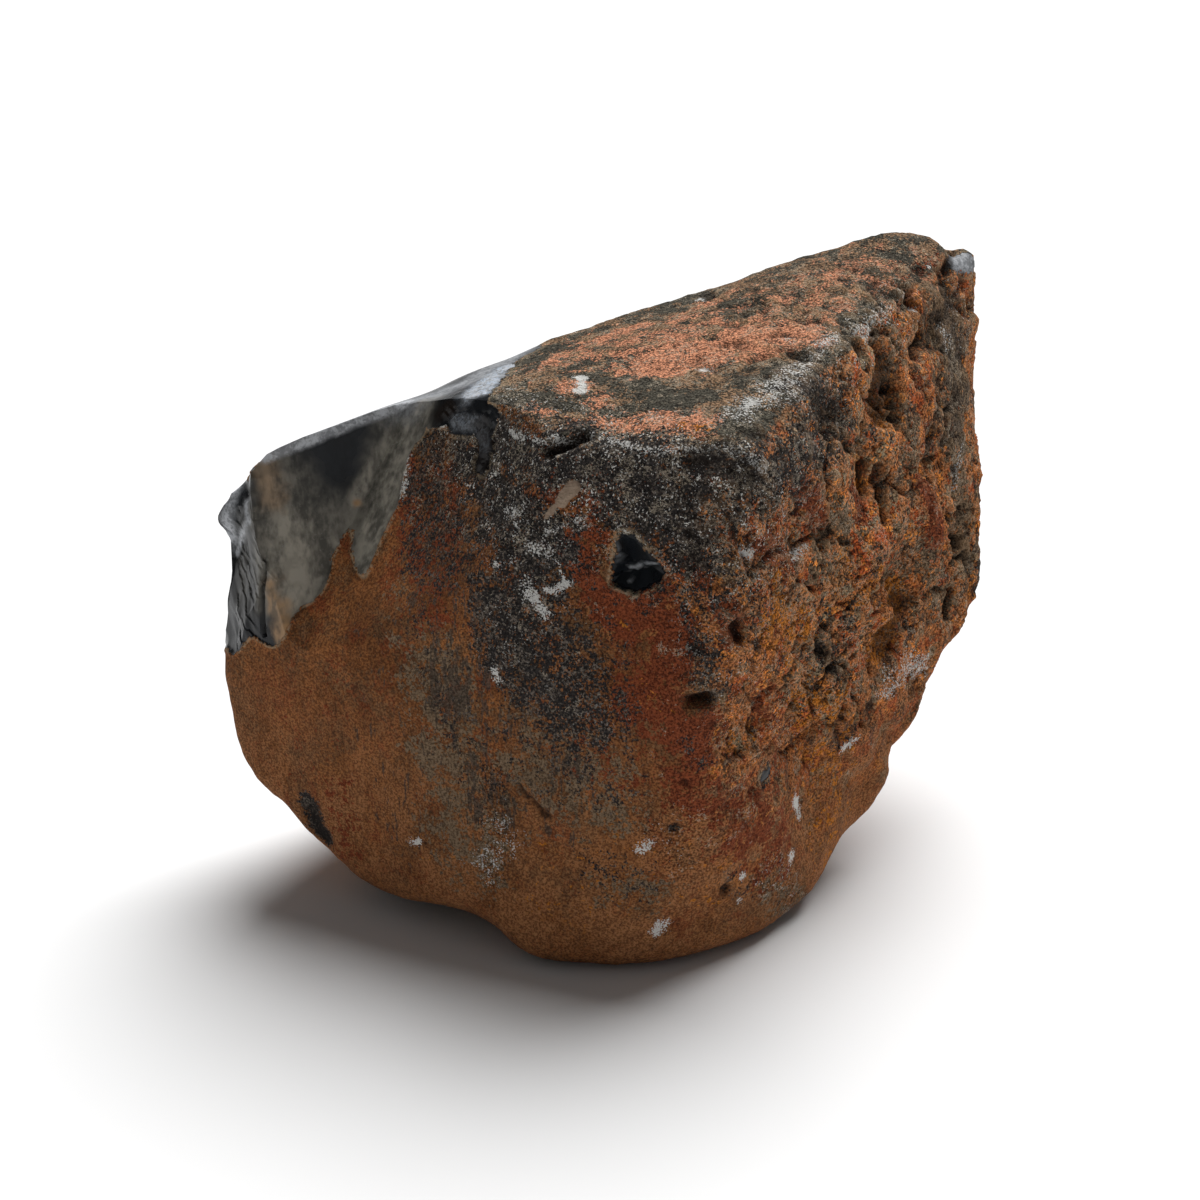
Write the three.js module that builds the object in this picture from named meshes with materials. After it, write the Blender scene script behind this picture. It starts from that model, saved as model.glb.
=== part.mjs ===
// A rough block of obsidian, as broken from a flow and left to weather.
//
// The block is one solid piece. A brown, pitted rind covers the top, the front
// and the right. Younger breaks show black glass: a two-sided flake scar and two
// small ones at the left end, a chip in the front, and three broad curved breaks
// along the back.
//
// Units are millimetres. +Z is up, +X runs to the block's right and the front
// faces -Y. The origin is the middle of the block's outline, at the ground.

import * as THREE from "three";
import { ConvexHull } from "three/addons/math/ConvexHull.js";
import { ImprovedNoise } from "three/addons/math/ImprovedNoise.js";
import { mergeVertices } from "three/addons/utils/BufferGeometryUtils.js";

// The rind's corners, before any flake came off. They set the block's size.
const RIND_CORNERS = {
  crown: [23.2, -40.5, 100],
  topFrontRight: [16, -36.5, 99.6],
  topFrontMiddle: [6, -30, 98.6],
  topFrontLeft: [-9.5, -24, 97],
  topFrontScar: [-26, -17, 98],
  topLeftEnd: [-59.5, -12, 88.6],
  topBackFarLeft: [-47.5, -2, 91],
  topBackLeft: [-33, 7, 93.8],
  topBackNearLeft: [-21, 17, 96.4],
  topBackMiddle: [-6.5, 26, 99],
  topBackNearRight: [10.5, 36, 102.3],
  topBackRight: [29.5, 43.5, 106.2],
  topBackFarRight: [48, 48, 111.3],
  topCrest: [58, 48, 113.6],
  topRightRim: [64, 37, 110.2],
  farCorner: [73.6, 50, 107.6],
  rightUpper: [74.3, 44, 80],
  rightBulge: [75.8, 36, 66],
  rightWaist: [75, 28, 53.5],
  rightLower: [71, 22, 40.5],
  rightKnee: [59, 14, 26],
  rightHeel: [50.5, 6, 13.5],
  rightToe: [42, -3, 3],
  frontRidgeUpper: [22.5, -44.5, 76],
  frontRidgeLower: [17, -46.5, 46],
  frontBelly: [7, -42.5, 16],
  footRightFront: [34.5, -23.5, 0],
  footFrontRight: [20, -34.3, 0],
  footFront: [2, -38.6, 0],
  footFrontLeft: [-13, -37.8, 0],
  leftUnder: [-38, -23, 6],
  leftUnderCorner: [-46, -18, 5.4],
  leftHeel: [-55.5, -13, 15.5],
  leftLower: [-64.5, -7, 21.5],
  leftKnee: [-69.7, -4, 30],
  leftWaist: [-70.6, -3, 42],
  leftMiddle: [-71.6, 3, 57],
  leftTip: [-71.5, 5.5, 69.5],
  backLeftUpper: [-63, 18, 66],
  backLeftMiddle: [-58, 26, 40],
  backMiddleLeft: [-28, 44, 36],
  backMiddle: [4, 52, 44],
  backMiddleRight: [38, 62, 56],
  backRightMiddle: [66, 59, 60],
  backLowerLeft: [-42, 26, 12],
  backLower: [-6, 42, 8],
  backLowerRight: [32, 38, 10],
  footLeft: [-34, -2, 0],
  footBackLeft: [-26, 20, 0],
  footBack: [2, 30, 0],
  footBackRight: [28, 22, 0],
  footRight: [38, 2, 0],
};

// Each hollow is part of an ellipsoid: `at` is its deepest point, `facing` the
// way it opens, `along` its long way, and `reach` its half sizes along, across
// and outward.

// Hollows as old as the rind, worn round with it.
const RIND_HOLLOWS = {
  underLeft: {
    at: [-20.5, -31.5, 4.8],
    facing: [-0.5, -0.25, -0.83],
    along: [0.3, 0.95, 0],
    reach: [44, 17, 13],
  },
};

// Younger breaks with crisp rims. Where a flake took off several facets, the
// hollow is what its ellipsoids have in common.
const FLAKES = {
  leftFlake: [
    {
      at: [-49.3, -6, 73.8],
      facing: [0.334, -0.925, 0.183],
      along: [0, 0.2, 1],
      reach: [170, 170, 170],
    },
    {
      at: [-32.2, -8, 84.1],
      facing: [-0.642, -0.613, 0.46],
      along: [0.6, -0.2, 0.7],
      reach: [170, 170, 170],
    },
  ],
  edgeFlakeUpper: [
    { at: [-66.6, -1.5, 69.7], facing: [-0.83, -0.56, -0.1], along: [0, 0, 1], reach: [34, 60, 34] },
  ],
  edgeFlakeLower: [
    { at: [-67.6, -2.3, 54.2], facing: [-0.86, -0.5, 0.08], along: [0, 0, 1], reach: [30, 60, 34] },
  ],
  frontChip: [
    { at: [4.5, -33.6, 79], facing: [0.6, -0.78, -0.1], along: [0.4, 0.1, -0.9], reach: [12, 12, 12] },
    { at: [8, -34.4, 78], facing: [-0.75, -0.6, 0.3], along: [0.4, 0.1, -0.9], reach: [12, 12, 12] },
  ],
  backBreakLeft: [
    {
      at: [-32.4, 15.1, 59.8],
      facing: [-0.51, 0.84, 0.15],
      along: [0.86, 0.49, 0.18],
      reach: [140, 160, 140],
    },
  ],
  backBreakMiddle: [
    {
      at: [8.9, 40.1, 61.6],
      facing: [-0.47, 0.86, 0.19],
      along: [0.88, 0.44, 0.18],
      reach: [150, 190, 150],
    },
  ],
  backBreakRight: [
    {
      at: [54.2, 50.9, 69.8],
      facing: [-0.13, 0.98, 0.12],
      along: [0.99, 0.13, 0.04],
      reach: [120, 150, 120],
    },
  ],
};

const WEAR = 1.3; // how far weathering has rounded the rind's edges
const FOOT_GRIND = 0.35; // how much the ground has worn off the block's foot
const LUMPS = [
  { size: 34, height: 1.3 },
  { size: 13, height: 0.8 },
];
// The rough side's relief fades in between two values of how well it faces.
const ROUGH_SIDE = {
  facing: new THREE.Vector3(0.86, -0.48, 0.18),
  fadesIn: [0.55, 0.9],
  ledgeSize: 17,
  ledgeDrop: 1.5,
  ledgeSharpness: 4,
  pitSize: 8,
  pitDepth: 1.3,
};
// Ripples of the glass, as rings round the place where a blow struck.
const RIPPLES = {
  flakes: "backBreak",
  strike: new THREE.Vector3(20, 40, 130),
  spacing: 13,
  height: 0.3,
  fadedOver: 3,
};

// The rind is found by rays that leave a long core inside the block.
const CORE_CENTRE = new THREE.Vector3(0, 11, 50);
const CORE_HALF_SIZE = new THREE.Vector3(38, 8, 18);
const SEGMENTS = 19; // splits of each edge of the icosahedron that spreads the rays
const SPREAD_ROUNDS = 12; // how often the rays are spread towards an even mesh
const SPREAD_STEP = 0.5;
const SAME_SIDE = 0.975; // faces whose normals agree this well count as one side
const CRISP = 0.02; // how closely a vertex is set on a crisp rim, as a share of its step
const SAME_VERTEX = 1e-4; // vertices of the unit ball that are this close are one

const noise = new ImprovedNoise();

// The flat sides of the rind. Each is a list of planes that face nearly alike.
// All but the foot are set out by what an edge between two of them loses to
// weathering, so that the worn block keeps its size.
function rindSides() {
  const corners = Object.values(RIND_CORNERS).map((corner) => new THREE.Vector3(...corner));
  const found = [];
  for (const { normal, constant } of new ConvexHull().setFromPoints(corners).faces) {
    const like = found.find((side) => side[0].normal.dot(normal) > SAME_SIDE);
    const plane = { normal, constant: normal.z < -SAME_SIDE ? constant : constant + WEAR * Math.LN2 };
    if (like) like.push(plane);
    else found.push([plane]);
  }
  return found;
}

// The map from millimetres to a hollow's unit sphere.
function hollowFrame({ at, facing, along, reach }) {
  const outward = new THREE.Vector3(...facing).normalize();
  const across = new THREE.Vector3().crossVectors(outward, new THREE.Vector3(...along)).normalize();
  const lengthwise = new THREE.Vector3().crossVectors(across, outward);
  const centre = new THREE.Vector3(...at).addScaledVector(outward, reach[2]);
  return new THREE.Matrix4()
    .makeBasis(lengthwise, across, outward)
    .scale(new THREE.Vector3(...reach))
    .setPosition(centre)
    .invert();
}

// How far a ray runs until it meets a hollow's ellipsoid: its near wall from
// outside, or with `within` its far wall from inside.
function reachHollow(frame, start, direction, within) {
  const from = start.clone().applyMatrix4(frame);
  const step = start.clone().add(direction).applyMatrix4(frame).sub(from);
  const a = step.lengthSq();
  const b = from.dot(step);
  const root = b * b - a * (from.lengthSq() - 1);
  if (root <= 0) return Infinity;
  return (-b + (within ? 1 : -1) * Math.sqrt(root)) / a;
}

const sides = rindSides();
const rindHollows = Object.values(RIND_HOLLOWS).map(hollowFrame);
const flakes = Object.entries(FLAKES).map(([name, facets]) => {
  const back = new THREE.Vector3();
  for (const { facing } of facets) back.sub(new THREE.Vector3(...facing));
  return { name, back: back.normalize(), frames: facets.map(hollowFrame) };
});

// Where a ray meets each side and each old hollow of the rind.
function rindCrossings(start, direction) {
  const crossings = [];
  for (const side of sides) {
    let nearest = { gap: Infinity, normal: side[0].normal };
    for (const { normal, constant } of side) {
      const toward = normal.dot(direction);
      const gap = (constant - normal.dot(start)) / toward;
      if (toward > 0 && gap < nearest.gap) nearest = { gap, normal };
    }
    if (nearest.gap < Infinity) crossings.push(nearest);
  }
  for (const frame of rindHollows) {
    const gap = reachHollow(frame, start, direction, false);
    if (gap > 0 && gap < Infinity) crossings.push({ gap, normal: direction });
  }
  return crossings;
}

// How far the rind stands out from its worn sides: lumps everywhere, and on the
// rough side ledges and pits as well.
function relief(point, facing) {
  let height = 0;
  for (const lump of LUMPS) {
    const { x, y, z } = point.clone().divideScalar(lump.size);
    height += lump.height * noise.noise(x, y, z);
  }
  const rough = THREE.MathUtils.smoothstep(facing.dot(ROUGH_SIDE.facing), ...ROUGH_SIDE.fadesIn);
  const ledge = point.clone().divideScalar(ROUGH_SIDE.ledgeSize);
  const pit = point.clone().divideScalar(ROUGH_SIDE.pitSize);
  const fromLedge = ROUGH_SIDE.ledgeSharpness * Math.abs(noise.noise(ledge.x, ledge.y, ledge.z));
  height += rough * ROUGH_SIDE.ledgeDrop * (1 - fromLedge);
  height += rough * ROUGH_SIDE.pitDepth * noise.noise(pit.x, pit.y, pit.z);
  return height;
}

// How far out the rind is along a ray. Weathering rounds the meeting of two
// sides: the further both are from being the nearest, the less either counts.
function rindAlong(start, direction) {
  const crossings = rindCrossings(start, direction);
  const nearest = Math.min(...crossings.map(({ gap }) => gap));
  const facing = new THREE.Vector3();
  let total = 0;
  for (const { gap, normal } of crossings) {
    const share = Math.exp((nearest - gap) / WEAR);
    total += share;
    facing.addScaledVector(normal, share);
  }
  const gap = nearest - WEAR * Math.log(total);
  const point = start.clone().addScaledVector(direction, gap);
  return gap + relief(point, facing.normalize());
}

// Strikes off a flake where a point lies in its hollow: the point moves straight
// back onto the hollow's nearest facet, whose number is returned.
function strikeOff({ name, frames, back }, point) {
  const inside = frames.every((frame) => point.clone().applyMatrix4(frame).lengthSq() < 1);
  if (!inside) return null;
  const depths = frames.map((frame) => reachHollow(frame, point, back, true));
  const depth = Math.min(...depths);
  point.addScaledVector(back, depth);
  if (name.startsWith(RIPPLES.flakes)) {
    const wave = Math.sin((2 * Math.PI * point.distanceTo(RIPPLES.strike)) / RIPPLES.spacing);
    const faded = THREE.MathUtils.smoothstep(depth, 0, RIPPLES.fadedOver);
    point.addScaledVector(back, RIPPLES.height * faded * wave);
  }
  return depths.indexOf(depth);
}

// The surface beyond one place on the core: the point, and which break shows
// there. The place is given by its direction on a ball.
function surfaceAlong(place) {
  const start = place.clone().multiply(CORE_HALF_SIZE).add(CORE_CENTRE);
  const point = start.clone().addScaledVector(place, rindAlong(start, place));
  let shows = "rind";
  for (const flake of flakes) {
    const facet = strikeOff(flake, point);
    if (facet !== null) shows = `${flake.name} ${facet}`;
  }
  if (point.z < FOOT_GRIND) point.z = 0;
  return { point, shows };
}

// Draws each place towards those of its neighbours that are far off on the
// surface, so that the mesh is about as fine everywhere.
function spreadEvenly(places, surface, triangles) {
  const pulls = places.map(() => new THREE.Vector3());
  for (let t = 0; t < triangles.length; t += 3) {
    for (let side = 0; side < 3; side++) {
      const a = triangles[t + side];
      const b = triangles[t + ((side + 1) % 3)];
      pulls[a].addScaledVector(places[b], surface[a].point.distanceTo(surface[b].point));
    }
  }
  places.forEach((place, i) => {
    place.lerp(pulls[i].normalize(), SPREAD_STEP).normalize();
    surface[i] = surfaceAlong(place);
  });
}

// The place between two others where the surface passes from one break to the
// next, and how far along it is.
function rimBetween(from, to, shows) {
  const middle = new THREE.Vector3();
  let low = 0;
  let high = 1;
  while (high - low > CRISP) {
    const share = (low + high) / 2;
    middle.lerpVectors(from, to, share).normalize();
    if (surfaceAlong(middle).shows === shows) low = share;
    else high = share;
  }
  return { share: high, place: middle.clone() };
}

// Moves the vertices next to a crisp rim onto it, those that are nearest first,
// so that rims run along the mesh and not across it.
function settleOnRims(places, surface, triangles) {
  const moves = [];
  for (let t = 0; t < triangles.length; t += 3) {
    for (let side = 0; side < 3; side++) {
      const a = triangles[t + side];
      const b = triangles[t + ((side + 1) % 3)];
      if (a > b || surface[a].shows === surface[b].shows) continue;
      const { share, place } = rimBetween(places[a], places[b], surface[a].shows);
      if (share < 0.5) moves.push({ vertex: a, other: b, share, place });
      else moves.push({ vertex: b, other: a, share: 1 - share, place });
    }
  }
  const settled = new Set();
  for (const { vertex, other, place } of moves.sort((m, n) => m.share - n.share)) {
    if (settled.has(vertex) || settled.has(other)) continue;
    surface[vertex].point = surfaceAlong(place).point;
    settled.add(vertex);
  }
}

// The block's surface, with its origin under the middle of its outline.
function blockGeometry() {
  const ball = new THREE.IcosahedronGeometry(1, SEGMENTS);
  ball.deleteAttribute("normal");
  ball.deleteAttribute("uv");
  const geometry = mergeVertices(ball, SAME_VERTEX);
  const position = geometry.attributes.position;
  const triangles = geometry.index.array;
  const places = [];
  for (let i = 0; i < position.count; i++) {
    places.push(new THREE.Vector3().fromBufferAttribute(position, i));
  }
  const surface = places.map(surfaceAlong);
  for (let round = 0; round < SPREAD_ROUNDS; round++) spreadEvenly(places, surface, triangles);
  settleOnRims(places, surface, triangles);
  surface.forEach(({ point }, i) => position.setXYZ(i, point.x, point.y, point.z));

  geometry.computeBoundingBox();
  const middle = geometry.boundingBox.getCenter(new THREE.Vector3());
  geometry.translate(-middle.x, -middle.y, -geometry.boundingBox.min.z);
  geometry.computeVertexNormals();
  return geometry;
}

const obsidian = new THREE.Group();
const weatheredStone = new THREE.MeshStandardMaterial({ color: 0x5a3c29, roughness: 0.85, metalness: 0 });
const block = new THREE.Mesh(blockGeometry(), weatheredStone);
block.name = "obsidian_block";
obsidian.add(block);

export default obsidian;
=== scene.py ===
# %% [markdown]
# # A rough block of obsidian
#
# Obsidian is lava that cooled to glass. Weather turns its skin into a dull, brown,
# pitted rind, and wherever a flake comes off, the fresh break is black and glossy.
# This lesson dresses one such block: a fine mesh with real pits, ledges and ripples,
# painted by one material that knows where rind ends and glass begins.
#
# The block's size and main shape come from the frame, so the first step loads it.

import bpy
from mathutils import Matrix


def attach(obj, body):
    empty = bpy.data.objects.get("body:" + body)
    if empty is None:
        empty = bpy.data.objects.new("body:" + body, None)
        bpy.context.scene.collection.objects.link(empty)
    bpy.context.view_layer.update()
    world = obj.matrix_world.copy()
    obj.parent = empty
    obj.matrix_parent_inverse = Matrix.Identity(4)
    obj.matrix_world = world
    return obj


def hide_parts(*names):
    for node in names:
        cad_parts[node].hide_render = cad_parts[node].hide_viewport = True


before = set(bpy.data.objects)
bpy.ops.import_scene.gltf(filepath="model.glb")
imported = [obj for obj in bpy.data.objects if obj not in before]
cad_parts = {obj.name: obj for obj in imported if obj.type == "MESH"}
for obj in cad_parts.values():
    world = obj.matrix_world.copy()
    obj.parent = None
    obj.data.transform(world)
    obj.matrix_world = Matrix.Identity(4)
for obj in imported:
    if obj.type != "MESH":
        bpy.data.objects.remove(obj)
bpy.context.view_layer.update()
block_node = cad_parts["obsidian_block"]

# %% [markdown]
# ## The camera
#
# A stone has no front by itself: the camera decides which face is read first. A
# moderately long lens from a little above keeps the block's edges nearly parallel.
# The same numbers also turn a point of the picture into a ray, which is handy later:
# a spot that is seen in the picture can be found on the surface and painted there.

# %% Camera and picture rays
import math

import bmesh
import bpy
import numpy as np
from mathutils import Vector, noise
from mathutils.bvhtree import BVHTree

MM = 0.001
PICTURE = 1200  # the picture's width and height, in its own pixels
LENS = 68
FILM = 36
CAMERA_TILT = math.radians(24)
CAMERA_TARGET = Vector((-0.00214, -0.00498, 0.056))
CAMERA_DISTANCE = 0.42

looking = Vector((0, math.cos(CAMERA_TILT), -math.sin(CAMERA_TILT)))
rightward = Vector((1, 0, 0))
upward = rightward.cross(looking)
eye = CAMERA_TARGET - looking * CAMERA_DISTANCE

lens = bpy.data.cameras.new("camera")
lens.lens = LENS
lens.sensor_width = FILM
camera = bpy.data.objects.new("camera", lens)
camera.location = eye
camera.rotation_euler = (math.pi / 2 - CAMERA_TILT, 0, 0)
bpy.context.scene.collection.objects.link(camera)
bpy.context.scene.camera = camera


def ray_through(across, down):
    """The direction from the eye through a point of the picture."""
    focal = PICTURE * LENS / FILM
    ray = looking * focal + rightward * (across - PICTURE / 2) + upward * (PICTURE / 2 - down)
    return ray.normalized()


print("camera at", [round(x, 3) for x in eye])

# %% [markdown]
# ## A finer mesh
#
# The frame's block has a vertex every 3 to 4 mm, which is enough to hold its shape
# but far too coarse for a pitted skin. A Subdivision Surface modifier would smooth
# everything, the sharp glass rims too. Here each round splits the triangles that need
# it and then relaxes only the rind, while the glass keeps its true curve.
#
# The flakes that left the glass are parts of ellipsoids, repeated here from the
# block's own construction in millimetres.

# %% The flakes that left the glass
FROM_SKETCH = np.array([-2.141, -4.975, 0.0])  # the block was centred after it was drawn
FLAKES = {
    "left": [
        ([-49.3, -6, 73.8], [0.334, -0.925, 0.183], [0, 0.2, 1], [170, 170, 170]),
        ([-32.2, -8, 84.1], [-0.642, -0.613, 0.46], [0.6, -0.2, 0.7], [170, 170, 170]),
    ],
    "edge_upper": [([-66.6, -1.5, 69.7], [-0.83, -0.56, -0.1], [0, 0, 1], [34, 60, 34])],
    "edge_lower": [([-67.6, -2.3, 54.2], [-0.86, -0.5, 0.08], [0, 0, 1], [30, 60, 34])],
    "back_left": [([-32.4, 15.1, 59.8], [-0.51, 0.84, 0.15], [0.86, 0.49, 0.18], [140, 160, 140])],
    "back_middle": [([8.9, 40.1, 61.6], [-0.47, 0.86, 0.19], [0.88, 0.44, 0.18], [150, 190, 150])],
    "back_right": [([54.2, 50.9, 69.8], [-0.13, 0.98, 0.12], [0.99, 0.13, 0.04], [120, 150, 120])],
}


def unit(vectors):
    """Vectors of length one."""
    return vectors / np.linalg.norm(vectors, axis=-1, keepdims=True)


def ellipsoid(at, facing, along, reach):
    """The map from millimetres to the unit ball, as rows and a centre."""
    outward = unit(np.array(facing, float))
    across = unit(np.cross(outward, along))
    lengthwise = np.cross(across, outward)
    centre = np.array(at) + FROM_SKETCH + outward * reach[2]
    rows = np.array([lengthwise / reach[0], across / reach[1], outward / reach[2]])
    return rows, centre


flakes = {name: [ellipsoid(*facet) for facet in facets] for name, facets in FLAKES.items()}


def depth_in(name, points):
    """How far inside a flake's hollow each point is, in mm."""
    depths = []
    for rows, centre in flakes[name]:
        local = (points - centre) @ rows.T
        radius = np.linalg.norm(local, axis=1)
        slope = np.linalg.norm(local @ rows, axis=1) / radius
        depths.append((1 - radius) / slope)
    return np.min(depths, axis=0)


print(len(flakes), "flakes,", sum(map(len, flakes.values())), "facets")

# %% Reading and relaxing the mesh
ON_WALL = {"back_left": 0.45, "back_middle": 0.45, "back_right": 0.45}
ON_WALL_ELSEWHERE = 0.12  # mm between a vertex and the wall that it lies on


def read_points(block):
    """The mesh's vertices in millimetres."""
    return np.array([vertex.co for vertex in block.verts]) / MM


def write_points(block, points):
    """Sets the mesh's vertices from millimetres."""
    for vertex, place in zip(block.verts, points * MM):
        vertex.co = place


def on_wall_of(name, points):
    """Whether each point lies on the wall that a flake left."""
    return np.abs(depth_in(name, points)) < ON_WALL.get(name, ON_WALL_ELSEWHERE)


def edges_of(block):
    """The two ends of every edge."""
    return np.array([[vertex.index for vertex in edge.verts] for edge in block.edges])


def neighbour_mean(values, ends):
    """The mean of each vertex's neighbours."""
    if values.ndim == 1:
        return neighbour_mean(values[:, None], ends)[:, 0]
    count = len(values)
    near, far = ends.T
    degree = np.bincount(near, minlength=count) + np.bincount(far, minlength=count)
    total = [
        np.bincount(near, column[far], count) + np.bincount(far, column[near], count)
        for column in values.T
    ]
    return (np.array(total) / degree).T


def relaxed(points, ends, free, rounds):
    """Draws the free vertices to the middle of their neighbours. The others stay."""
    points = points.copy()
    for _ in range(rounds):
        points[free] = (points[free] + neighbour_mean(points, ends)[free]) / 2
    return points


def refine(block, faces):
    """Splits each of these triangles into four."""
    edges = list({edge for face in faces for edge in face.edges})
    bmesh.ops.subdivide_edges(block, edges=edges, cuts=1)
    bmesh.ops.triangulate(block, faces=[face for face in block.faces if len(face.verts) > 3])
    for group in (block.verts, block.edges, block.faces):
        group.index_update()


# %% Splitting where the eye looks
RELAX_ROUNDS = (2, 3, 2)
UNDERNEATH = -0.75
FINE_SIDE = np.array([0.75, -0.62, 0.2])  # the rough right side, with the ridge beside it
FINE_ABOVE = 0.75
FINE_AROUND = {  # places with crisp detail, in mm, and how far round each the mesh is fine
    (-62, -10, 68): 24,
    (-40, -20, 84): 20,
    (5, -38, 78): 16,
    (-12, -28, 92): 20,
    (66, 40, 104): 18,
}


def everywhere(centres, facing):
    """All the faces, for the first round."""
    return np.ones(len(centres), bool)


def where_worn(centres, facing):
    """The rind, without the smooth glass behind and the face that the block rests on."""
    behind = [on_wall_of(name, centres) for name in flakes if name.startswith("back")]
    return ~np.any(behind, axis=0) & (facing[:, 2] > UNDERNEATH)


def where_crisp(centres, facing):
    """The faces on the rough side or beside crisp detail."""
    near = [np.linalg.norm(centres - spot, axis=1) < reach for spot, reach in FINE_AROUND.items()]
    return (facing @ FINE_SIDE > FINE_ABOVE) | np.any(near, axis=0)


block = bmesh.new()
block.from_mesh(block_node.data)
bmesh.ops.remove_doubles(block, verts=block.verts, dist=0.001 * MM)
for chosen, rounds in zip((everywhere, where_worn, where_crisp), RELAX_ROUNDS):
    block.normal_update()
    faces = list(block.faces)
    centres = np.array([face.calc_center_median() for face in faces]) / MM
    facing = np.array([face.normal for face in faces])
    refine(block, [face for face, split in zip(faces, chosen(centres, facing)) if split])
    points = read_points(block)
    on_wall = np.any([on_wall_of(name, points) for name in flakes], axis=0)
    write_points(block, relaxed(points, edges_of(block), ~on_wall, rounds))
block.normal_update()
print(len(block.verts), "vertices,", len(block.faces), "triangles")

# %% [markdown]
# ## Finding places on the surface
#
# Every mark on the block is listed: a short path of picture points, a reach in
# millimetres and an amount. Each point is sent as a ray onto the surface, so a mark is
# a line on the stone itself and stays put from any side. Painting through the lens
# instead would smear across edges as soon as the block is turned.

# %% Marks on the surface
points = read_points(block)
ends = edges_of(block)
triangles = np.array([[vertex.index for vertex in face.verts] for face in block.faces])
eye_mm = np.array(eye) / MM
surface_tree = BVHTree.FromPolygons(points.tolist(), triangles.tolist())
print(len(points), "places that a mark can reach")


def normals_of(points):
    """Vertex normals, weighted by the faces' areas."""
    a, b, c = (points[triangles[:, corner]] for corner in range(3))
    face_normals = np.cross(b - a, c - a)
    total = np.zeros_like(points)
    for corner in range(3):
        for axis in range(3):
            total[:, axis] += np.bincount(
                triangles[:, corner], face_normals[:, axis], len(points)
            )
    return unit(total)


def spot(pixel):
    """The place on the surface that a point of the picture shows, in mm. A point just
    outside the outline stands for the nearest place on it."""
    ray = ray_through(*pixel)
    found = surface_tree.ray_cast(eye_mm, ray)[0]
    if found is not None:
        return np.array(found)
    sideways = np.cross(points - eye_mm, ray)
    return points[np.linalg.norm(sideways, axis=1).argmin()]


def grain(places, size, octaves=3):
    """Noise with lumps of about this size in mm, from about -1 to 1."""
    return np.array([noise.fractal(Vector(place), 1.0, 2.0, octaves) for place in places / size])


def gap_to(path):
    """Each vertex's distance in mm to a path of picture points laid on the surface."""
    stops = [spot(pixel) for pixel in path]
    gap = np.linalg.norm(points - stops[0], axis=1)
    for start, end in zip(stops, stops[1:]):
        step = end - start
        share = np.clip((points - start) @ step / (step @ step), 0, 1)
        gap = np.minimum(gap, np.linalg.norm(points - start - share[:, None] * step, axis=1))
    return gap


def ease(low, high, values):
    """0 at low, 1 at high, and a smooth step between."""
    share = np.clip((values - low) / (high - low), 0, 1)
    return share * share * (3 - 2 * share)


def marked(marks, softness=0.6, wobble=0.3):
    """How strongly these marks lie on each vertex. Softness and wobble are shares of
    a mark's reach."""
    total = np.zeros(len(points))
    for path, reach, amount in marks:
        gap = gap_to(path) + wobble * reach * ragged
        inside = ease(reach * (1 + softness), reach * (1 - softness), gap)
        total = np.maximum(total, amount * inside)
    return total


def inside_outline(pixels, thickness=14):
    """How far inside an outline each vertex is, in mm. The outline's picture points are
    laid on the surface and flattened onto the plane that fits them best."""
    corners = np.array([spot(pixel) for pixel in pixels])
    middle = corners.mean(axis=0)
    across, along, outward = np.linalg.svd(corners - middle)[2]
    flat = np.array([across, along]).T
    spots = (points - middle) @ flat
    corners = (corners - middle) @ flat
    gap = np.full(len(points), np.inf)
    inside = np.zeros(len(points), bool)
    for start, end in zip(corners, np.roll(corners, -1, axis=0)):
        step = end - start
        share = np.clip((spots - start) @ step / (step @ step), 0, 1)
        gap = np.minimum(gap, np.linalg.norm(spots - start - share[:, None] * step, axis=1))
        crosses = (start[1] > spots[:, 1]) != (end[1] > spots[:, 1])
        with np.errstate(divide="ignore", invalid="ignore"):
            level = start[0] + (spots[:, 1] - start[1]) * step[0] / step[1]
        inside ^= crosses & (spots[:, 0] < level)
    near = np.abs((points - middle) @ outward) < thickness
    return np.where(near & inside, gap, -gap - 100 * ~near)


# %% [markdown]
# ## Following the outline
#
# The frame's block has plain corners. A few of them are drawn out or pushed in by a
# millimetre or two where the stone's outline bends. Each pull fades with distance, so
# the skin follows without a crease. Moving single vertices would leave spikes.

# %% Following the outline
NUDGES = [  # picture points, reach in mm, and the pull in mm
    ([(890, 240), (920, 242)], 12, (0, 0, 1.5)),
    ([(560, 342), (670, 304)], 12, (0, 0, 0.7)),
    ([(968, 264)], 7, (1.3, 0, 2.0)),
    ([(948, 252)], 4, (0, 0, -1.6)),
    ([(976, 385), (976, 440)], 9, (-1.5, 0, 0)),
    ([(968, 585), (962, 622)], 10, (1.8, 0, -0.6)),
    ([(948, 650)], 6, (-0.9, 0, 0)),
    ([(908, 722)], 7, (-1.3, 0, 0.3)),
    ([(880, 775), (868, 806)], 8, (1.5, 0, -0.8)),
    ([(237, 495)], 6, (2.2, 0, 0)),
    ([(226, 521)], 4.5, (-2.2, 0, 0)),
    ([(226, 638)], 8, (0.9, 0, 0)),
    ([(244, 756), (258, 780)], 10, (-1.0, 0, -0.8)),
    ([(480, 915), (495, 930)], 8, (0, 0, 1.6)),
]

pull = np.zeros_like(points)
for path, reach, shift in NUDGES:
    pull += ease(reach, 0, gap_to(path))[:, None] * np.array(shift)
on_wall = {name: on_wall_of(name, points) for name in flakes}
points += pull
surface_tree = BVHTree.FromPolygons(points.tolist(), triangles.tolist())
print("pulled by up to", round(np.linalg.norm(pull, axis=1).max(), 1), "mm")

# %% [markdown]
# ## Rind and glass
#
# The left flake's scar is bare glass only in its left part, and further right its wall
# has weathered back to rind. So the flakes' walls alone can't say where glass shows:
# two outlines of picture points do, with a ragged noise added to their edges.

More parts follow.
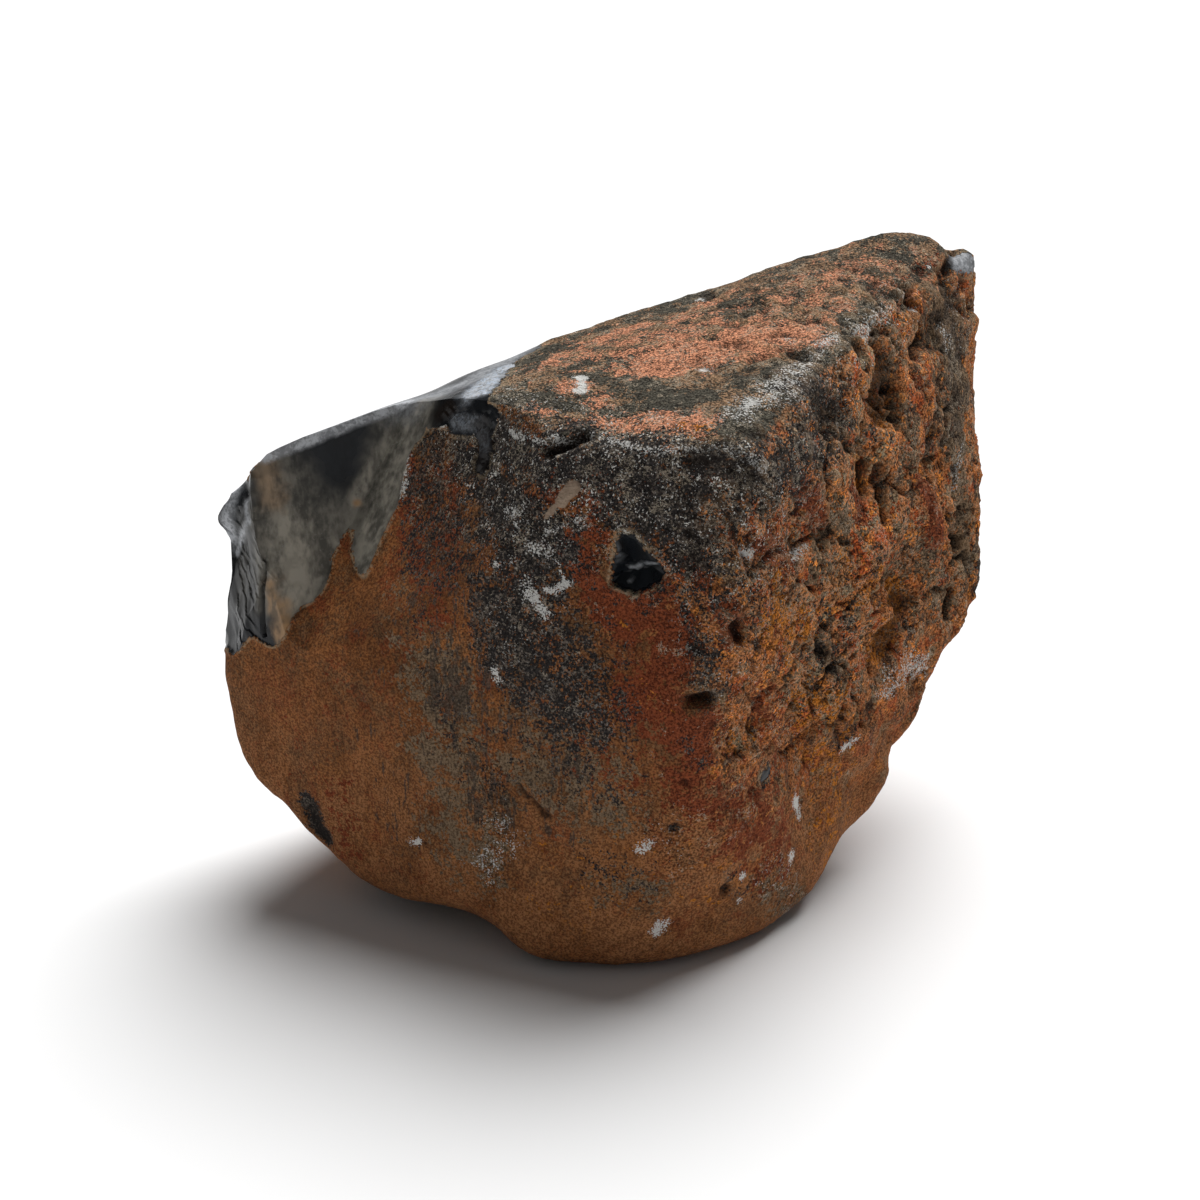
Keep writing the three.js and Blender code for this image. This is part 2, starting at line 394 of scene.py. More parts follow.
# %% Where glass shows
LEFT_GLASS = [
    (240, 440), (262, 450), (330, 425), (410, 403), (438, 399), (430, 412), (422, 436),
    (409, 454), (405, 477), (402, 494), (394, 514), (387, 531), (377, 548), (371, 565),
    (364, 578), (356, 566), (352, 548), (355, 533), (353, 524), (344, 535), (336, 550),
    (331, 562), (333, 570), (327, 583), (317, 598), (304, 606), (294, 619), (289, 631),
    (279, 645), (270, 646), (252, 636), (235, 656), (222, 645), (215, 520),
]
TOP_GLASS = [
    (255, 456), (300, 440), (340, 427), (405, 406), (438, 402), (462, 410), (486, 406),
    (501, 383), (522, 356), (495, 360), (460, 372), (400, 396), (330, 420),
]
NICKS = [
    ([(436, 416), (450, 408)], 2.6, 1),
    ([(458, 420), (488, 418)], 2.6, 1),
    ([(482, 430), (484, 445), (480, 466)], 1.6, 1),
    ([(704, 296), (713, 294)], 1.4, 1),
    ([(762, 778), (768, 772)], 1.0, 1),
    ([(954, 262), (970, 262)], 2.4, 1),
    ([(236, 490), (227, 516), (232, 545)], 3.2, 1),
    ([(262, 452), (309, 436), (360, 416), (410, 398), (460, 378), (518, 353)], 4.5, 1),
]

ragged = grain(points, 5) + 0.5 * grain(points, 1.6)
left_part = inside_outline(LEFT_GLASS) + 0.6 * ragged
top_part = inside_outline(TOP_GLASS) + 0.5 * ragged
nicks = marked(NICKS, 0.3, 0.35)
on_left = on_wall["left"] | on_wall["edge_upper"] | on_wall["edge_lower"]
glass = (left_part > 0) | (top_part > 0) | (nicks > 0.5)
glass |= np.any([on_wall[name] for name in flakes if name.startswith("back")], axis=0)

SOFTENED = 10
worn_wall = on_left & ~glass
near_worn = neighbour_mean(worn_wall.astype(float), ends) > 0
points = relaxed(points, ends, near_worn & ~glass, SOFTENED)
normals = normals_of(points)
print("glass covers", round(100 * glass.mean()), "% of the vertices")

# %% [markdown]
# ## The chip in the front
#
# A knock took out a thumbnail of glass. A dent pushed into a bumpy skin would keep the
# bumps, so the place is first filled to a gently curved sheet, fitted to the ring of
# skin round it, and then cut by one slanting plane from each side. Where the planes
# meet there are crisp ridges, as in a real chip.

# %% The chip in the front
CHIP = [(619, 529), (641, 542), (657, 558), (668, 575), (638, 594), (612, 583)]
CHIP_SLOPES = (0.9, 0.75, 0.6, 0.5, 0.75, 1.5)  # how steeply each side falls inward
CHIP_FILLED = 10
CHIP_RING = 5  # the width in mm of the skin round it that the sheet is fitted to
CHIP_FADE = 3
CHIP_DEEPEST = 3.2
CHIP_UNEVEN = 0.06
CHIP_STEP = 0.9  # the lower half broke a little deeper, behind a thin ledge
SPLIT = [(613, 574), (664, 561)]  # where that ledge runs

chip_corners = np.array([spot(pixel) for pixel in CHIP])
chip_middle = chip_corners.mean(axis=0)
chip_gap = np.linalg.norm(points - chip_middle, axis=1)
ring = (chip_gap > CHIP_FILLED) & (chip_gap < CHIP_FILLED + CHIP_RING)
chip_normal = unit(normals[ring].mean(axis=0))
across = unit(np.cross(chip_normal, [0, 0, 1]))
along = np.cross(across, chip_normal)


def curves(places):
    """The terms of a gently curved sheet round the chip."""
    u = (places - chip_middle) @ across
    v = (places - chip_middle) @ along
    return np.array([np.ones(len(u)), u, v, u * u, u * v, v * v]).T


ring_heights = (points[ring] - chip_middle) @ chip_normal
sheet = np.linalg.lstsq(curves(points[ring]), ring_heights, rcond=None)[0]
filled = ease(CHIP_FILLED, CHIP_FILLED - CHIP_FADE, chip_gap)
rise = curves(points) @ sheet - (points - chip_middle) @ chip_normal
points += (filled * rise)[:, None] * chip_normal


def side_depth(start, end, slope):
    """Depth of the plane that falls inward from one side of the chip."""
    inward = np.cross(chip_normal, end - start)
    inward = unit(inward if (chip_middle - start) @ inward > 0 else -inward)
    return slope * ((points - start) @ inward)


depths = [
    side_depth(start, end, slope)
    for start, end, slope in zip(chip_corners, np.roll(chip_corners, -1, axis=0), CHIP_SLOPES)
]
chip_depth = np.minimum(np.min(depths, axis=0), CHIP_DEEPEST) + CHIP_UNEVEN * grain(points, 1.5)
split, split_end = [spot(pixel) for pixel in SPLIT]
below_split = np.cross(chip_normal, split_end - split)
below_split = unit(-below_split if below_split[2] > 0 else below_split)
chip_depth += CHIP_STEP * ease(-0.4, 0.4, (points - split) @ below_split) * (chip_depth > 0)
chip_depth[chip_gap > CHIP_FILLED] = 0
in_chip = chip_depth > 0
points -= (np.maximum(chip_depth, 0))[:, None] * chip_normal
glass |= in_chip
normals = normals_of(points)
print("the chip is", round(chip_depth.max(), 1), "mm deep")

# %% [markdown]
# ## The relief
#
# The rind is worn and pitted. Real displacement is used for all that the eye can see
# standing out: lumps, ledges, pits and slits. Bump in the material is left for grains
# under half a millimetre.
#
# The rough side is crumbled rather than bumpy, and smooth noise looks like dough there.
# A Voronoi pattern of flat, tilted patches gives broken faces instead, and the gaps
# between its patches become clefts.

# %% Relief helpers
def chunks(places, size):
    """Flat patches of about this size in mm, each tilted its own way, as broken stone
    has, and how near each place is to the gap between two patches."""
    heights, gaps = [], []
    for place in places / size:
        place = Vector(place)
        distances, centres = noise.voronoi(place)
        heights.append((place - centres[0]).dot(noise.cell_vector(centres[0] * 7.3)))
        gaps.append(distances[1] - distances[0])
    return np.array(heights), ease(0.2, 0.02, np.array(gaps))


def broken(places, size):
    """The heights of such patches alone."""
    return chunks(places, size)[0]


# %% The worn rind
ROUGH_FACING = unit(np.array([0.86, -0.48, 0.18]))
ROUGH_FROM = 56  # mm above the foot, below which the rough side fades out
LEDGE = 8
LUMP = 3.2
CRUMB = 1.7
STRETCH = np.array([1, 1, 0.75])  # makes the ledges a little taller than wide
ROUGH_SIDE = [
    ([(860, 340), (850, 500), (830, 640)], 24, 1),
    ([(800, 700), (790, 860)], 16, 0.55),
    ([(770, 450), (745, 560), (740, 640)], 12, 0.5),
]
CRUSTED = [
    ([(470, 440), (560, 470), (700, 500), (780, 560)], 17, 1),
    ([(520, 560), (560, 640)], 12, 0.5),
    ([(700, 620), (720, 820)], 12, 0.5),
]

rough = np.maximum(0.75 * ease(0.6, 0.95, normals @ ROUGH_FACING), marked(ROUGH_SIDE, 0.6, 0.15))
rough *= ease(0, ROUGH_FROM, points[:, 2])
top = ease(0.6, 0.85, normals[:, 2])
crusted = np.maximum(marked(CRUSTED, 0.6), top)

height = 0.3 * grain(points * [1, 1, 0.6], 9) + 0.12 * grain(points, 2.2)
height += crusted * (0.14 * grain(points, 1.3) + 0.22 * broken(points, 2.6))
wavering = points + 0.9 * np.array([grain(points + shift, 3) for shift in (0, 31, 67)]).T
ledges, clefts = chunks(wavering * STRETCH, LEDGE)
lumps, gaps = chunks(wavering, LUMP)
open_cleft = rough * clefts * ease(0.0, 0.35, grain(points, 11))
open_gap = rough * gaps * ease(0.05, 0.4, grain(points + 50, 6))
crumbs = broken(wavering, CRUMB)
height += rough * (1.05 * ledges + 0.5 * lumps + 0.25 * crumbs + 0.25 * grain(points, 1.4))
height -= 1.5 * open_cleft + 0.7 * open_gap
cave = np.maximum(open_cleft, 0.8 * open_gap)
print("rough over", round(100 * (rough > 0.5).mean()), "% of the vertices")

# %% [markdown]
# ### Pits and slits
#
# Gas bubbles and plucked grains leave holes, and each of those that catch the eye is
# cut where it belongs. The edge is shifted by noise in proportion to the reach, because
# a round hole looks drilled. Deep holes are also darkened later with painted shade.

# %% Pits and slits
PITS = [  # path of picture points, reach in mm, depth in mm
    ([(903, 285), (914, 298)], 1.7, 2.4),
    ([(924, 330), (925, 338), (917, 352)], 1.5, 2.6),
    ([(863, 462), (863, 491)], 1.0, 2.6),
    ([(897, 392), (899, 420)], 2.0, 2.4),
    ([(694, 702), (709, 700)], 1.2, 2.8),
    ([(738, 627), (741, 638)], 1.3, 2.2),
    ([(786, 712), (794, 703)], 1.0, 2.0),
    ([(820, 640), (823, 652)], 1.6, 2.0),
    ([(834, 668)], 1.2, 2.0),
    ([(864, 716), (865, 727)], 0.8, 1.8),
    ([(951, 515), (957, 543)], 1.3, 2.2),
    ([(953, 592), (946, 616)], 0.9, 1.6),
    ([(685, 784)], 0.9, 1.0),
    ([(674, 829)], 1.0, 1.0),
    ([(726, 889)], 1.2, 1.0),
    ([(426, 845)], 0.5, 0.6),
    ([(858, 350)], 1.6, 1.4),
    ([(886, 372), (884, 400)], 4.5, 1.4),
    ([(864, 466), (862, 482)], 1.6, 2.4),
    ([(893, 390), (897, 412)], 1.7, 2.6),
    ([(438, 415), (450, 408)], 1.5, 3.4),
    ([(545, 450), (558, 447), (582, 436)], 1.3, 2.2),
    ([(700, 456), (722, 458), (745, 470)], 3.0, 0.9),
    ([(706, 294), (712, 297)], 1.4, 1.2),
    ([(902, 600), (888, 640)], 3.2, 1.2),
    ([(310, 812), (322, 838)], 2.4, 0.9),
    ([(482, 425), (484, 445), (480, 462)], 2.0, 1.0),
    ([(948, 252), (949, 262), (951, 272)], 1.0, 1.6),
    ([(521, 788), (532, 800), (547, 816)], 0.8, 1.0),
    ([(505, 800), (512, 822)], 3.0, 0.4),
    ([(817, 405), (842, 410)], 2.6, 1.0),
    ([(765, 776)], 1.2, 0.8),
    ([(920, 269)], 1.6, 1.2),
    ([(800, 640), (780, 690)], 0.9, 1.2),
    ([(880, 470), (884, 520)], 1.2, 1.4),
]
BUMPS = [  # path of picture points, reach in mm, height in mm
    ([(562, 500), (572, 489)], 1.1, 0.5),
    ([(690, 446), (721, 447), (746, 455), (762, 466)], 1.5, 0.35),
    ([(534, 790), (558, 812)], 2.6, 0.6),
    ([(926, 485), (932, 530)], 3.2, 1.4),
    ([(979, 465)], 3.0, 0.9),
    ([(226, 594)], 1.6, 0.9),
    ([(870, 560), (850, 600)], 5.0, 1.0),
]

# Painted shade: how far the colour is darkened in clefts and pits.
painted_pit_shade = 0.75 * cave
for path, reach, depth in PITS:
    inside = ease(reach * 1.5, reach * 0.4, gap_to(path) + 0.45 * reach * ragged)
    height -= depth * inside
    painted_pit_shade = np.maximum(painted_pit_shade, inside * min(1, depth / 1.5))
for path, reach, rise in BUMPS:
    height += rise * ease(reach * 1.4, reach * 0.5, gap_to(path) + 0.3 * reach * ragged)
print(len(PITS), "pits and", len(BUMPS), "bumps")

# %% [markdown]
# ### Relief on the glass
#
# Glass breaks in shells: faint ripples spread from the point that was struck, like
# rings in water. They are only hundredths of a millimetre high, yet the shine shows
# them. Where a break runs out at the edge it tears into small steps called hackles.

# %% Relief on the glass
RIPPLE = 9  # mm from crest to crest
RIPPLE_HEIGHT = 0.03
STRIKES = {"back_left": [-40, 10, 95], "back_middle": [0, 25, 105], "back_right": [50, 45, 118]}
HACKLES = [
    ([(240, 545), (246, 590), (243, 640)], 4.0, 1),
    ([(243, 500), (240, 545)], 2.2, 1),
    ([(255, 482), (257, 540), (254, 600)], 2.6, 0.8),
]
HACKLE_SPACING = 2.6
SLIT = [(265, 562), (261, 590), (262, 612), (264, 634)]
SLIT_REACH = 0.5
SLIT_DEPTH = 0.8
LIP = 0.3  # mm that the rind stands over the glass
CRUSHED = [
    ([(479, 390), (492, 378), (510, 366)], 3.6, 1),
    ([(450, 422), (484, 424), (482, 462)], 2.6, 1.3),
]

level = glass.astype(float)
for _ in range(3):
    level = neighbour_mean(level, ends)
height *= 1 - ease(0.3, 0.7, level)
uneven = grain(points, 30)
strength = RIPPLE_HEIGHT * ease(-0.3, 0.4, uneven)
for name, place in STRIKES.items():
    turns = np.linalg.norm(points - place, axis=1) / RIPPLE
    height += strength * np.sin(2 * math.pi * turns + 1.5 * uneven) * on_wall[name]
lip = ease(0.75, 0.35, level) * ease(0.02, 0.3, level)
height += LIP * lip * (left_part > -4)
hackled = marked(HACKLES, 0.5, 0.2)
slant = (points @ [0.3, -0.55, 0.78]) / HACKLE_SPACING + 0.5 * grain(points, 6)
height += hackled * (0.2 * (slant % 1) + 0.25 * grain(points, 3) - 0.3)
slit = ease(SLIT_REACH * 1.8, SLIT_REACH * 0.3, gap_to(SLIT) + 0.12 * ragged)
height -= SLIT_DEPTH * slit
height += marked(CRUSHED) * 0.35 * broken(points, CRUMB)
print(len(STRIKES), "strikes with ripples round them")

# %% [markdown]
# ### Moving the skin
#
# All the heights are added up before any vertex moves, each along its own normal, so
# no layer distorts the next. Nothing may sink below the floor. A height that lies under
# its neighbours' mean is a hollow, which the paint darkens with painted shade, and one
# above it is a crumb, which the paint makes a paler tan on the rough side.

# %% Moving the skin
NEAR_ROUNDS = 6

shaped = points + normals * height[:, None]
shaped[:, 2] = np.maximum(shaped[:, 2], 0)
around = height
for _ in range(NEAR_ROUNDS):
    around = neighbour_mean(around, ends)
hollow = ease(0.02, 0.5, around - height) * (1 - ease(0.5, 0.9, level))
raised = ease(0.05, 0.45, height - around)
print("relief from", round(height.min(), 2), "to", round(height.max(), 2), "mm")

# %% [markdown]
# ## Where each colour lies
#
# The rind is a patchwork: rust, ochre and charcoal crusts lie over a brown ground, with
# white mineral specks on top. Each has a list of marks. A mark says only how much of a
# crust there is; the material breaks it up into grains, so no border is ever a line.

# %% Crusts
# path of picture points, reach in mm, amount
RUST = [
    ([(566, 545), (590, 575), (617, 618)], 3.4, 1),
    ([(617, 600), (632, 628)], 2.8, 0.9),
    ([(650, 600), (668, 625), (668, 668)], 5, 0.8),
    ([(640, 700), (665, 725), (690, 742)], 6.5, 0.8),
    ([(691, 562), (700, 578)], 2.8, 0.9),
    ([(722, 612), (736, 630)], 3, 0.9),
    ([(590, 465), (640, 472)], 3.8, 0.5),
    ([(543, 470), (552, 495)], 2.2, 1),
    ([(592, 492), (600, 512)], 2.4, 0.9),
    ([(570, 528), (604, 535)], 1.6, 0.9),
    ([(700, 478), (715, 484)], 1.4, 0.9),
    ([(767, 540), (785, 565)], 3, 0.8),
    ([(800, 485), (820, 515)], 3.2, 0.8),
    ([(921, 480), (935, 535)], 2.8, 1),
    ([(855, 490), (860, 515)], 2.6, 0.8),
    ([(905, 330), (925, 420)], 3, 0.4),
    ([(448, 480), (455, 560)], 3.4, 0.45),
    ([(405, 480), (430, 600)], 6, 0.5),
    ([(690, 800), (760, 800)], 7, 0.45),
    ([(760, 690), (780, 760)], 5, 0.5),
    ([(342, 795), (348, 850)], 4, 0.45),
    ([(690, 790), (780, 850)], 7, 0.6),
    ([(300, 760), (330, 700)], 8, 0.2),
    ([(600, 760), (640, 780)], 5, 0.35),
    ([(895, 275), (945, 256)], 3, 0.4),
]
SALMON = [
    ([(590, 350), (700, 330), (800, 300), (870, 275)], 14, 0.55),
    ([(650, 365), (720, 345), (800, 330)], 7, 0.95),
    ([(560, 385), (600, 405)], 5, 0.55),
    ([(610, 422), (710, 424)], 4, 0.8),
    ([(530, 408), (575, 427)], 2.5, 0.6),
    ([(585, 345), (640, 325)], 3, 0.7),
    ([(860, 300), (880, 280)], 4, 0.4),
]
OCHRE_AND_FOOT_LIGHT = [
    ([(856, 462), (857, 484)], 1.2, 1),
    ([(880, 375), (884, 408)], 4, 0.7),
    ([(864, 345)], 2.5, 0.5),
    ([(772, 600), (795, 635)], 5, 0.6),
    ([(895, 595), (885, 640)], 4, 0.7),
    ([(617, 618), (626, 626)], 1.2, 0.45),
    ([(735, 740), (760, 730)], 5, 0.25),
    ([(800, 700), (830, 720)], 6, 0.5),
    ([(670, 428), (735, 434)], 2, 0.45),
    ([(840, 560), (870, 590)], 6, 0.4),
    ([(830, 750), (835, 860)], 7, 0.35),
    # This wide, faint mark along the foot lightens it: painted light against the shade there.
    ([(560, 870), (700, 880)], 12, 0.16),
    ([(440, 860), (560, 900)], 8, 0.12),
    ([(640, 690), (660, 705)], 2.4, 0.25),
]
CHARCOAL = [
    ([(480, 448), (600, 464), (700, 482), (760, 480)], 7, 0.85),
    ([(500, 500), (540, 540), (530, 570)], 8, 0.85),
    ([(650, 500), (690, 530), (700, 545)], 7, 0.9),
    ([(606, 505), (622, 520)], 3.5, 0.8),
    ([(505, 600), (525, 660), (560, 700)], 8.5, 0.75),
    ([(560, 640), (590, 690), (600, 725)], 7, 0.65),
    ([(680, 592), (720, 602)], 4, 0.6),
    ([(704, 650), (712, 688)], 3.4, 0.65),
    ([(750, 490), (790, 465), (832, 415), (805, 385)], 7, 0.75),
    ([(720, 560), (760, 600)], 5, 0.45),
    ([(470, 460), (470, 560)], 5, 0.5),
    ([(410, 480), (416, 560)], 4, 0.5),
    ([(700, 455), (760, 470)], 3, 1),
    ([(828, 645), (838, 668)], 3.2, 0.7),
    ([(840, 745), (862, 725)], 2.4, 0.5),
    ([(690, 750), (700, 760)], 3, 0.4),
    ([(730, 880), (742, 892)], 3, 0.4),
    ([(430, 560), (440, 700)], 7, 0.3),
    ([(425, 450), (440, 560)], 7, 0.5),
    ([(540, 735), (590, 770)], 9, 0.4),
    ([(460, 720), (490, 780)], 8, 0.3),
    ([(600, 870), (640, 890)], 5, 0.35),
    ([(665, 500), (560, 600)], 14, 0.3),
    ([(764, 775)], 2.4, 0.6),
    ([(308, 806), (322, 838)], 2.4, 1),
    ([(672, 829)], 1.8, 0.6),
]
STREAKED = [
    ([(415, 460), (420, 600)], 5, 0.5),
    ([(448, 450), (455, 700)], 6, 0.6),
    ([(490, 620), (490, 800)], 8, 0.45),
    ([(550, 700), (550, 800)], 8, 0.35),
    ([(380, 640), (400, 820)], 9, 0.25),
    ([(955, 300), (955, 440)], 6, 0.7),
    ([(930, 300), (935, 440)], 4, 0.5),
]
TOP_DARK = [
    ([(610, 375), (650, 392)], 4, 0.7),
    ([(760, 310), (740, 300)], 4, 0.5),
    ([(570, 412), (640, 410)], 3, 0.6),
    ([(520, 365), (550, 350)], 4, 1),
    ([(500, 400), (546, 396)], 3.2, 0.9),
    ([(581, 367), (590, 380)], 3, 0.8),
    ([(693, 395), (670, 400)], 3, 0.8),
    ([(660, 308), (690, 296)], 3.4, 0.8),
    ([(739, 430), (770, 420)], 4, 0.8),
    ([(850, 285), (920, 250)], 9, 0.2),
    ([(800, 385), (850, 345), (900, 300)], 5, 0.75),
    ([(560, 400), (640, 398)], 3, 0.5),
]
OLIVE = [
    ([(440, 680), (470, 850)], 9, 0.6),
    ([(540, 760), (590, 790)], 10, 0.6),
    ([(620, 885), (650, 895)], 6, 0.45),
    ([(770, 880), (790, 910)], 5, 0.5),
    ([(400, 600), (410, 700)], 7, 0.3),
    ([(945, 300), (960, 440)], 7, 0.85),
    ([(900, 420), (915, 470)], 5, 0.5),
    ([(850, 440), (840, 420)], 4, 0.5),
    ([(960, 450), (965, 560)], 4, 0.7),
    ([(900, 540), (890, 580)], 5, 0.5),
    ([(820, 560), (840, 520)], 7, 0.6),
    ([(925, 560), (940, 600)], 6, 0.6),
    ([(800, 650), (850, 690)], 7, 0.4),
    ([(880, 330), (905, 370)], 5, 0.5),
]
CRUSTS = (RUST, SALMON, OCHRE_AND_FOOT_LIGHT, CHARCOAL, STREAKED, TOP_DARK, OLIVE)
print(sum(map(len, CRUSTS)), "marks of crust")

# %% Pale marks
SALT = [
    ([(490, 770), (495, 875)], 3, 0.5),
    ([(655, 830), (680, 860)], 3.6, 0.6),
    ([(770, 870), (800, 915)], 4.5, 0.7),
    ([(480, 440), (600, 470), (700, 490), (760, 540)], 12, 0.85),
    ([(500, 520), (540, 600), (505, 640)], 8, 0.6),
    ([(560, 690), (600, 720)], 7, 0.5),
    ([(700, 560), (730, 690)], 9, 0.6),
    ([(780, 480), (840, 380), (900, 300)], 8, 0.6),
    ([(700, 740), (700, 860)], 9, 0.35),
    ([(955, 280), (965, 340)], 5, 0.7),
]
MINERAL = [
    ([(507, 508), (520, 516)], 1, 0.5),
    ([(513, 512), (516, 530)], 0.6, 0.6),
    ([(532, 548), (548, 552)], 1.3, 0.5),
    ([(497, 565)], 0.8, 0.6),
    ([(556, 562), (566, 584)], 0.45, 0.9),
    ([(566, 584), (556, 588), (545, 592)], 0.8, 0.65),
    ([(530, 594), (545, 614)], 0.8, 0.75),
    ([(524, 578), (533, 600)], 1.2, 0.4),
    ([(494, 671), (497, 680)], 0.6, 0.9),
    ([(579, 378), (584, 391)], 1.2, 1),
    ([(738, 414), (760, 398), (780, 380)], 3.4, 0.46),
    ([(745, 408), (755, 398)], 1.8, 0.66),
    ([(788, 374), (812, 357), (836, 338)], 1.8, 0.5),
    ([(864, 329), (884, 306)], 2, 0.52),
    ([(700, 299)], 1.4, 0.9),
    ([(705, 369)], 1.2, 0.7),
    ([(791, 336)], 1.8, 0.6),
    ([(914, 304), (904, 296), (918, 308)], 0.7, 0.8),
    ([(742, 552), (752, 556)], 1.1, 0.8),
    ([(804, 547), (794, 557)], 1.2, 0.8),
    ([(889, 687), (901, 670), (922, 668)], 2.6, 0.52),
    ([(845, 748), (857, 738)], 1, 0.8),
    ([(797, 802), (801, 814)], 1.2, 0.9),
    ([(655, 753)], 0.5, 1),
    ([(739, 901)], 1, 0.9),
    ([(742, 877)], 0.8, 0.8),
    ([(657, 930), (664, 924)], 1.2, 0.9),
    ([(652, 842), (640, 850)], 0.9, 0.7),
    ([(793, 857)], 1.2, 0.8),
    ([(411, 842), (420, 841)], 0.4, 1),
    ([(485, 867), (500, 850)], 3, 0.35),
    ([(501, 825)], 3, 0.3),
    ([(930, 266)], 0.7, 0.9),
    ([(945, 330), (950, 345)], 1.4, 0.4),
    ([(960, 455), (955, 500)], 1.6, 0.45),
]
# Painted highlights: thin pale lines along crisp edges and rims.
RIM_HIGHLIGHTS = [
    ([(544, 534), (573, 523), (586, 518)], 0.5, 0.42),
    ([(721, 446), (746, 452), (764, 466)], 1.2, 0.45),
    ([(511, 432), (542, 442), (566, 438), (590, 434)], 0.7, 0.6),
    ([(600, 438), (626, 445), (655, 452), (676, 448), (721, 446)], 0.6, 0.55),
    ([(610, 570), (613, 581)], 0.5, 0.8),
    ([(604, 505), (620, 527), (641, 541), (657, 556)], 0.5, 0.42),
    ([(430, 421), (444, 424), (454, 418)], 0.7, 0.9),
    ([(407, 452), (403, 475), (400, 495)], 1.3, 0.7),
]
LEAF = [([(547, 516), (558, 503)], 0.5, 1), ([(562, 502), (573, 488)], 1.2, 1)]
print(len(SALT) + len(MINERAL) + len(RIM_HIGHLIGHTS) + len(LEAF), "pale marks")

# %% Marks on the glass
# Frost on crushed edges. The thin lines along the crest and round the chip, and the bright corner
# facet at the top right, are painted highlights.
FROST_AND_HIGHLIGHTS = [
    ([(262, 455), (309, 439), (360, 419), (410, 401)], 1, 1.6),
    ([(400, 402), (430, 396), (475, 378), (520, 354)], 3.5, 0.7),
    ([(235, 490), (228, 510), (226, 522), (232, 540)], 1.3, 0.9),
    ([(249, 482), (246, 502), (248, 521), (241, 535), (236, 553)], 0.6, 0.9),
    ([(957, 261), (968, 262)], 2.6, 1),
    ([(615, 538), (617, 556), (633, 568), (656, 562)], 0.3, 0.8),
    ([(633, 568), (630, 584)], 0.25, 0.6),
]
SPARKLE = [
    ([(478, 392), (490, 380), (510, 366)], 2.8, 1),
    ([(456, 422), (480, 424), (484, 446)], 1.4, 0.2),
]
HAZE_AND_HIGHLIGHTS = [
    ([(263, 463), (276, 500), (290, 535)], 1.8, 0.65),
    ([(290, 530), (296, 555), (292, 585)], 6, 0.95),
    ([(318, 540), (322, 560)], 5, 0.7),
    ([(340, 520), (350, 515)], 3, 0.55),
    ([(335, 545), (318, 575)], 4, 0.75),
    ([(312, 600), (300, 608)], 3, 0.8),
    ([(285, 490), (300, 515)], 5, 0.5),
    ([(282, 470), (305, 500), (340, 528)], 3.4, 0.4),
    ([(325, 515), (345, 528)], 4, 0.5),
    ([(396, 428), (378, 460), (356, 500)], 1.5, 0.9),
    # These two thin pale lines along flake B's crease are painted highlights.
    ([(404, 433), (382, 462), (360, 491), (352, 505)], 0.5, 1),
    ([(416, 412), (402, 440), (380, 488), (364, 531)], 0.7, 1),
    ([(408, 440), (390, 500), (370, 560)], 5, 0.8),
    ([(425, 405), (415, 440)], 2.5, 0.7),
    ([(357, 503)], 0.8, 1),
    ([(245, 560), (244, 600)], 3, 0.2),
]
TAN = [
    ([(270, 584), (275, 610), (282, 636)], 1.5, 0.85),
    ([(279, 628), (284, 641)], 1.8, 0.95),
    ([(265, 466), (270, 486), (276, 502)], 1.8, 0.5),
    ([(357, 503)], 0.6, 0.9),
]
print(len(FROST_AND_HIGHLIGHTS) + len(SPARKLE) + len(HAZE_AND_HIGHLIGHTS) + len(TAN), "marks on the glass")

# %% [markdown]
# ## The masks
#
# The marks become one mask for each finish. They cover only the sides that the picture
# shows, so broad patches of noise carry rust, charcoal, olive and salt round the back.

# %% The masks
def patches(shift, size, amount):
    """Patches for the sides that the picture does not show."""
    return amount * unseen * ease(0.0, 0.45, grain(points + shift, size, 4))


unseen = ease(0.1, -0.15, np.einsum("ij,ij->i", normals, unit(eye_mm - points))) * (1 - top)
masks = {
    "rust": np.maximum(marked(RUST, 0.9, 0.5), patches(40, 15, 0.7)),
    "salmon": marked(SALMON, 0.9, 0.4) * ease(0.3, 0.6, normals[:, 2]),
    "ochre_and_foot_light": marked(OCHRE_AND_FOOT_LIGHT, 0.9, 0.5),
    "charcoal": np.maximum(marked(CHARCOAL, 0.9, 0.4), patches(80, 18, 0.8)),
    "top_dark": marked(TOP_DARK, 0.9, 0.4) * ease(0.3, 0.6, normals[:, 2]),
    "olive": np.maximum(marked(OLIVE, 0.9, 0.4), patches(120, 13, 0.7)),
    "streaked": marked(STREAKED, 0.9, 0.4),
    "salt": np.maximum(marked(SALT, 0.6), patches(80, 18, 0.6)),
    # white mineral specks, and painted highlights along some rims
    "mineral_and_rim_highlight": 0.9 * np.maximum(marked(MINERAL, 0.9, 0.9), marked(RIM_HIGHLIGHTS, 0.9, 0.9)),
    "leaf": marked(LEAF, 0.3, 0.3),
    # frost on crushed edges, and painted highlights along the crest, the chip and a corner
    "frost_and_highlight": np.minimum(np.maximum(marked(FROST_AND_HIGHLIGHTS, 0.9, 0.3), marked(SPARKLE)), 1),
    "sparkle": marked(SPARKLE),
    # haze, and painted highlights along flake B's crease
    "haze_and_highlight": marked(HAZE_AND_HIGHLIGHTS, 0.9, 0.3),
    "tan": marked(TAN, 0.9, 0.9),
    "top": top,
    # painted light: fades in towards the foot, against the shade there
    "low": ease(60, 15, points[:, 2]) * (1 - rough),
    "rough": rough,
    "crusted": crusted,
    # painted shade in pits, clefts and hollows
    "painted_pit_shade": np.maximum(painted_pit_shade, 0.9 * hollow),
    "slit": slit,
    "raised": raised,
    "glass": level,
}
print(len(masks), "masks")

# %% [markdown]
# ## The block's mesh
#
# The masks travel with the mesh as one number for each vertex, which the material reads
# by name. Images would need unwrapping and would fray at its seams. All faces are
# shaded smooth, apart from the crisp edges within the glass.

